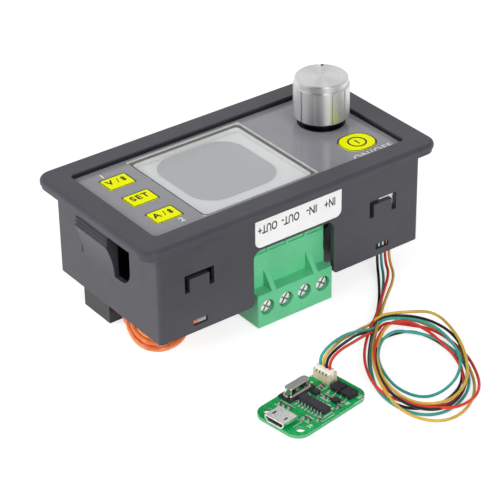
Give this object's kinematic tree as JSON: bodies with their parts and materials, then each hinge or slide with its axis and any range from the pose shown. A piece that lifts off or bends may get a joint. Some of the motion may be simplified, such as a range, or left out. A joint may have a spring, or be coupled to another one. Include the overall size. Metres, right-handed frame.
{
  "type": "buck converter module",
  "caption": "Panel-mount adjustable buck converter: dark bezel with display, yellow keys and a metal knob, green screw terminal, and a thin cable to a small serial adapter board.",
  "frame": {"origin": "on the bench, under the centre of the bezel, with the module lying on its back", "axes": "+X along the bezel towards the knob, +Y towards the top of the display, +Z out of the front panel"},
  "size_m": [0.079, 0.0929, 0.041],
  "materials": {
    "case": "fine moulded texture",
    "overlay": "glossy film",
    "window": "clear",
    "lcd": "unlit display",
    "lcd_tray": "moulded",
    "key": "yellow",
    "switch": "moulded",
    "steel": "plated",
    "nut": "plated",
    "knob": "turned",
    "board_green": "solder mask",
    "chip": "moulded",
    "brass": "turned",
    "core": "painted powder core",
    "copper": "enamelled copper wire",
    "black_metal": "anodised",
    "can_sleeve": "sleeved can",
    "shunt": "bare alloy wire",
    "terminal_green": "moulded",
    "tin": "tinned",
    "label": "printed",
    "white_plastic": "moulded",
    "beige_plastic": "moulded",
    "small_part": "small parts",
    "wire_black": "insulated",
    "wire_teal": "insulated",
    "wire_red": "insulated",
    "wire_yellow": "insulated"
  },
  "bodies": {
    "root": {"housing": "case", "front_overlay": "overlay", "display_window": "window", "lcd_glass": "lcd", "lcd_frame": "lcd_tray", "switch_bodies": "switch", "encoder_body": "steel", "encoder_nut": "nut", "main_board": "board_green", "main_board_screws": "steel", "controller_chip": "chip", "power_board": "board_green", "board_spacers": "brass", "link_header": "chip", "inductor_core": "core", "inductor_winding": "copper", "heatsink": "black_metal", "power_transistor": "chip", "transistor_screw": "steel", "output_capacitor_near": "can_sleeve", "output_capacitor_far": "can_sleeve", "input_capacitor": "can_sleeve", "current_shunt": "shunt", "terminal_header": "terminal_green", "terminal_pins": "tin", "terminal_plug": "terminal_green", "clamp_cages": "tin", "clamp_screws": "tin", "terminal_label": "label", "cable_socket": "white_plastic", "cable_plug": "white_plastic", "cable_coil": "wire_teal", "adapter_board": "board_green", "adapter_usb": "tin", "adapter_crystal": "tin", "adapter_crystal_pad": "chip", "adapter_chip": "chip", "adapter_optocouplers": "chip", "adapter_header": "beige_plastic", "adapter_plug": "white_plastic", "small_parts": "small_part", "wire_black_module": "wire_black", "wire_black_adapter": "wire_black", "wire_teal_module": "wire_teal", "wire_teal_adapter": "wire_teal", "wire_red_module": "wire_red", "wire_red_adapter": "wire_red", "wire_yellow_module": "wire_yellow", "wire_yellow_adapter": "wire_yellow"},
    "key_volts": {"key_volts": "key", "plunger_volts": "switch"},
    "key_set": {"key_set": "key", "plunger_set": "switch"},
    "key_amps": {"key_amps": "key", "plunger_amps": "switch"},
    "key_power": {"key_power": "key", "plunger_power": "switch"},
    "encoder_push": {"encoder_plunger": "switch"},
    "knob": {"encoder_shaft": "steel", "control_knob": "knob"}
  },
  "joints": [
    {"name": "key_volts_press", "type": "slide", "parent": "root", "child": "key_volts", "axis": [0, 0, -1], "range_m": [0, 0.0003], "stiffness_N_per_m": 300},
    {"name": "key_set_press", "type": "slide", "parent": "root", "child": "key_set", "axis": [0, 0, -1], "range_m": [0, 0.0003], "stiffness_N_per_m": 300},
    {"name": "key_amps_press", "type": "slide", "parent": "root", "child": "key_amps", "axis": [0, 0, -1], "range_m": [0, 0.0003], "stiffness_N_per_m": 300},
    {"name": "key_power_press", "type": "slide", "parent": "root", "child": "key_power", "axis": [0, 0, -1], "range_m": [0, 0.0003], "stiffness_N_per_m": 300},
    {"name": "knob_push", "type": "slide", "parent": "root", "child": "encoder_push", "axis": [0, 0, -1], "range_m": [0, 0.0005], "stiffness_N_per_m": 4000},
    {"name": "knob_turn", "type": "hinge", "parent": "encoder_push", "child": "knob", "pos_m": [0.0261, 0.004, 0.0315], "axis": [0, 0, 1], "continuous": true}
  ]
}
